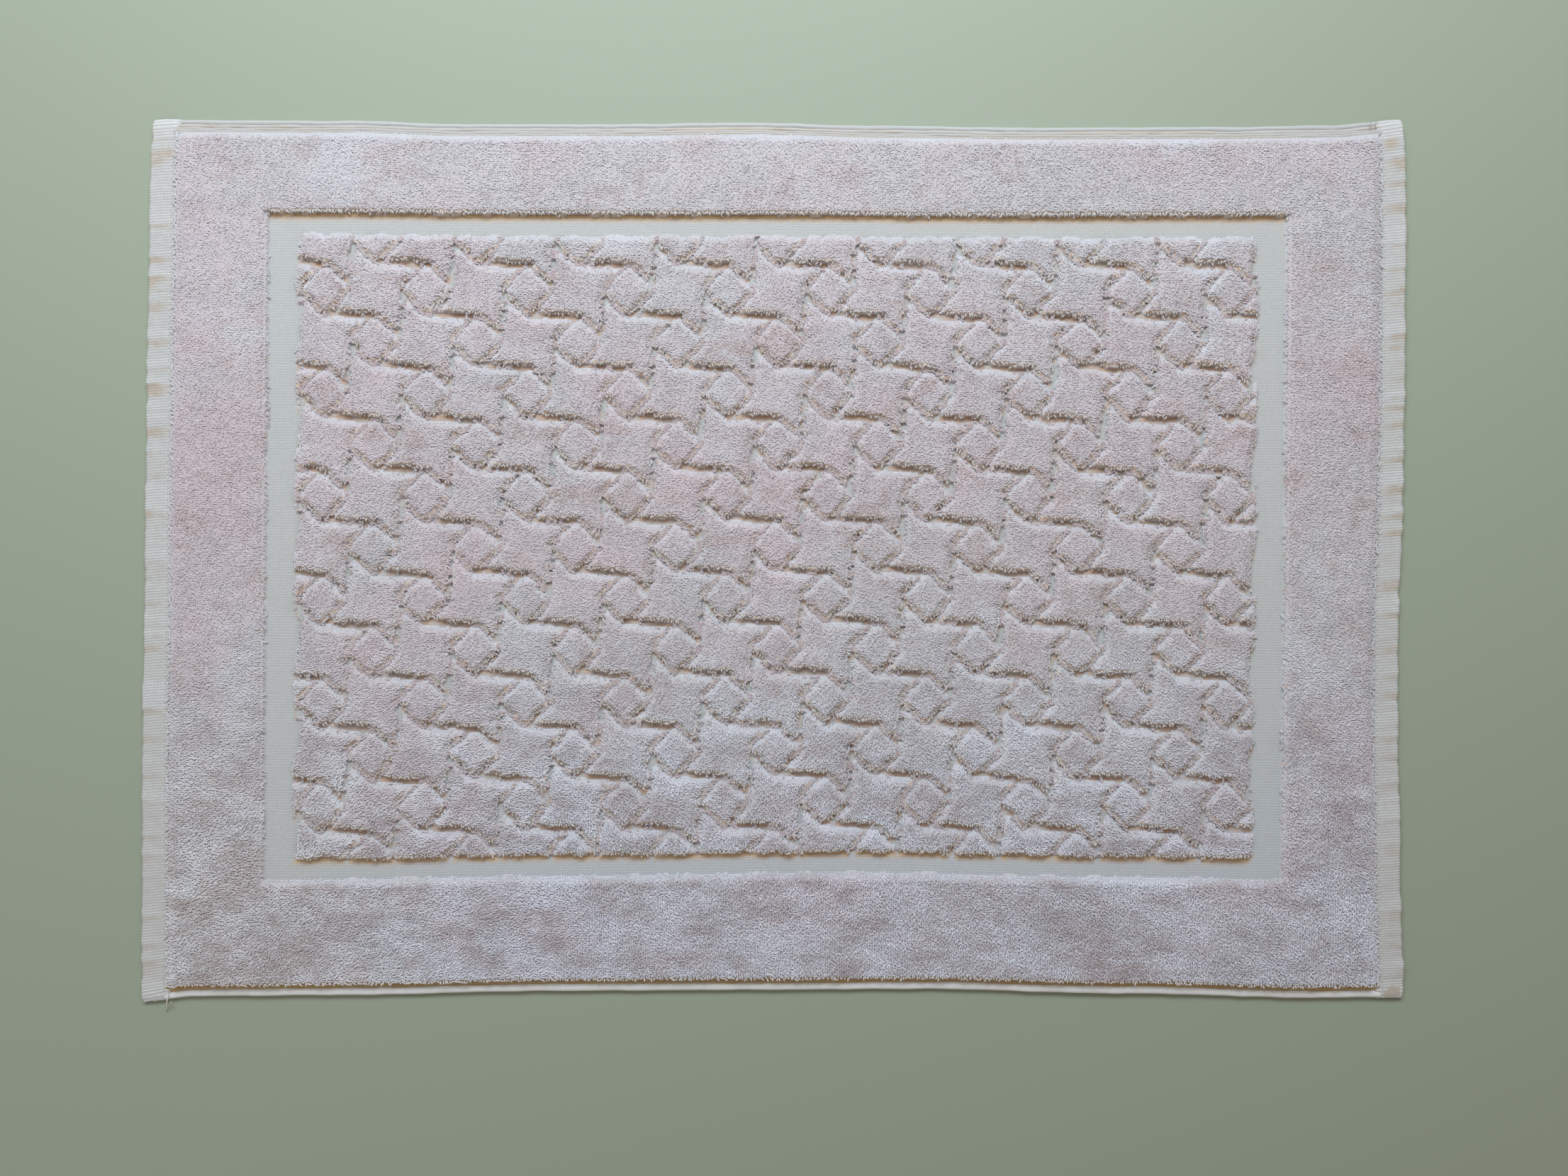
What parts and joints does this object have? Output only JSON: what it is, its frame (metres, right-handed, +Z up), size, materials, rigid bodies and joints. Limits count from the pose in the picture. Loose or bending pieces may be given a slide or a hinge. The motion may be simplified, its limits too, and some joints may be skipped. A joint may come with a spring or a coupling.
{
  "type": "bath mat",
  "caption": "Rectangular terry bath mat with a raised pinwheel and lozenge pattern in a recessed frame, a looped border, stitched end hems and thick selvedges.",
  "frame": {"origin": "middle of the underside, on the surface that the mat lies on", "axes": "+X along the length from the left hem to the right hem, +Y across the width to the top selvedge, +Z up out of the face pile"},
  "size_m": [0.7, 0.492, 0.007],
  "materials": {
    "flat_weave": "plain woven cotton ground, matte",
    "back_pile": "low cotton loops, matte",
    "face_pile": "cotton terry loops, matte",
    "selvedge": "tightly woven cotton edge, matte",
    "hem": "ribbed flat cotton weave, matte",
    "sewing_thread": "cotton sewing thread, matte",
    "dark_thread": "dark cotton thread ends, matte"
  },
  "bodies": {
    "root": {"ground_cloth": "flat_weave", "back_pile": "back_pile", "border_pile_top": "face_pile", "border_pile_bottom": "face_pile", "border_pile_left": "face_pile", "border_pile_right": "face_pile", "pinwheel_tufts": "face_pile", "lozenge_tufts": "face_pile", "selvedge_top": "selvedge", "selvedge_bottom": "selvedge", "hem_left": "hem", "hem_right": "hem", "hem_left_turn_in": "hem", "hem_right_turn_in": "hem", "hem_left_stitching": "sewing_thread", "hem_right_stitching": "sewing_thread", "thread_tails_bottom_left": "sewing_thread", "thread_tails_top_right": "dark_thread"}
  },
  "joints": []
}
